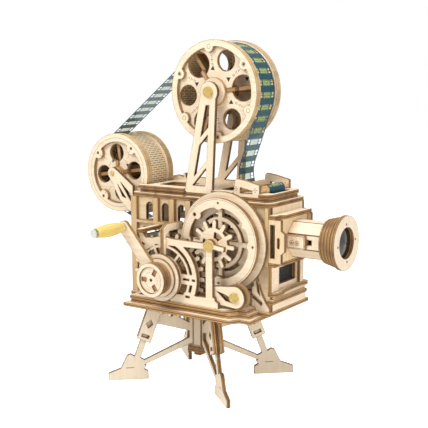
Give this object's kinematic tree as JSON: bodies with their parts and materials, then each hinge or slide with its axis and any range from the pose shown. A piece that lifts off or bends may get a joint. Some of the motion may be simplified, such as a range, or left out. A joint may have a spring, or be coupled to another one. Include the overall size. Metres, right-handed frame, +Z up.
{
  "type": "wooden projector model kit",
  "caption": "Hand-cranked film projector model of laser-cut plywood: two reels on frames, crank gear and flywheel, a film loop and a focusing lens, on a four-legged stand.",
  "frame": {"origin": "on the floor, under the middle of the whole object's bounding box", "axes": "+X along the lens axis towards the lens, +Y away from the crank side, +Z up"},
  "size_m": [0.2424, 0.1446, 0.2792],
  "materials": {
    "birch_ply": "bare laser-cut birch plywood, satin",
    "stand_ply": "bare laser-cut birch plywood, greyer faces",
    "beech_dowel": "turned dowel, satin",
    "yellow_wood": "turned wood, stained yellow, satin",
    "steel": "brushed",
    "film": "glossy film strip",
    "lens_glass": "clear",
    "black_plastic": "glossy black",
    "lamp_plastic": "matt"
  },
  "bodies": {
    "base": {"leg_right": "stand_ply", "leg_rear": "stand_ply", "leg_left": "stand_ply", "leg_front": "stand_ply", "leg_cheeks": "stand_ply", "stand_column": "stand_ply", "stand_collar": "stand_ply", "deck_lower": "birch_ply", "deck_base": "birch_ply", "deck_upper": "birch_ply", "near_wall": "birch_ply", "far_wall": "birch_ply", "rear_wall": "birch_ply", "front_wall": "birch_ply", "pilasters": "birch_ply", "cornice_lower": "birch_ply", "cornice_middle": "birch_ply", "cornice_upper": "birch_ply", "tower_near": "birch_ply", "tower_far": "birch_ply", "takeup_arms": "birch_ply", "bearing_bracket": "birch_ply", "bracket_stays": "birch_ply", "reel_axles": "beech_dowel", "axle_caps": "yellow_wood", "guide_plates": "birch_ply", "idler_arm": "birch_ply", "film_loop": "film", "lens_housing": "birch_ply", "lens_shelves": "birch_ply", "front_ledges": "birch_ply", "front_pane": "black_plastic", "lens_tube": "birch_ply", "lamp": "lamp_plastic", "battery_box": "black_plastic", "film_gate": "birch_ply"},
    "crank": {"crank_gear": "birch_ply", "crank_shaft": "beech_dowel", "crank_drum": "birch_ply", "crank_arm": "birch_ply", "drive_roller": "birch_ply", "handle_pin": "steel"},
    "handle": {"handle_grip": "yellow_wood"},
    "flywheel": {"pinion": "birch_ply", "flywheel_front": "birch_ply", "flywheel_rim": "birch_ply", "flywheel_shaft": "beech_dowel"},
    "upper_reel": {"upper_reel_flanges": "birch_ply", "upper_reel_drum": "birch_ply", "upper_reel_hub": "birch_ply", "upper_reel_keys": "birch_ply"},
    "takeup_reel": {"takeup_reel_flanges": "birch_ply", "takeup_reel_drum": "birch_ply", "takeup_reel_hub": "birch_ply", "takeup_reel_keys": "birch_ply"},
    "guide_roller": {"guide_roller": "birch_ply"},
    "front_roller": {"front_roller": "birch_ply"},
    "idler_roller": {"idler_roller": "birch_ply"},
    "focus": {"focus_barrel": "birch_ply", "lens_glass": "lens_glass"}
  },
  "joints": [
    {"name": "crank_spin", "type": "hinge", "parent": "base", "child": "crank", "pos_m": [-0.0136, -0.0258, 0.0948], "axis": [0, 1, 0], "continuous": true},
    {"name": "handle_spin", "type": "hinge", "parent": "crank", "child": "handle", "pos_m": [-0.04594, -0.0538, 0.13267], "axis": [0, 1, 0], "continuous": true},
    {"name": "flywheel_spin", "type": "hinge", "parent": "base", "child": "flywheel", "pos_m": [0.0297, -0.0158, 0.1238], "axis": [0, 1, 0], "continuous": true},
    {"name": "upper_reel_spin", "type": "hinge", "parent": "base", "child": "upper_reel", "pos_m": [0.0116, 0.0242, 0.2389], "axis": [0, 1, 0], "continuous": true},
    {"name": "takeup_reel_spin", "type": "hinge", "parent": "base", "child": "takeup_reel", "pos_m": [-0.0888, 0.0242, 0.1697], "axis": [0, 1, 0], "continuous": true},
    {"name": "guide_roller_spin", "type": "hinge", "parent": "base", "child": "guide_roller", "pos_m": [0.0397, 0.0242, 0.1636], "axis": [0, 1, 0], "continuous": true},
    {"name": "front_roller_spin", "type": "hinge", "parent": "base", "child": "front_roller", "pos_m": [0.0559, 0.0242, 0.1638], "axis": [0, 1, 0], "continuous": true},
    {"name": "idler_roller_spin", "type": "hinge", "parent": "base", "child": "idler_roller", "pos_m": [0.0511, 0.0242, 0.0856], "axis": [0, 1, 0], "continuous": true},
    {"name": "focus_slide", "type": "slide", "parent": "base", "child": "focus", "axis": [1, 0, 0], "range_m": [-0.003, 0.0025]}
  ],
  "couplings": [
    {"joint": "flywheel_spin", "follows": "crank_spin", "ratio": -2},
    {"joint": "upper_reel_spin", "follows": "crank_spin", "ratio": -0.32212},
    {"joint": "takeup_reel_spin", "follows": "crank_spin", "ratio": -0.40226},
    {"joint": "guide_roller_spin", "follows": "crank_spin", "ratio": 2.2035},
    {"joint": "front_roller_spin", "follows": "crank_spin", "ratio": -3},
    {"joint": "idler_roller_spin", "follows": "crank_spin", "ratio": -1.2388}
  ]
}
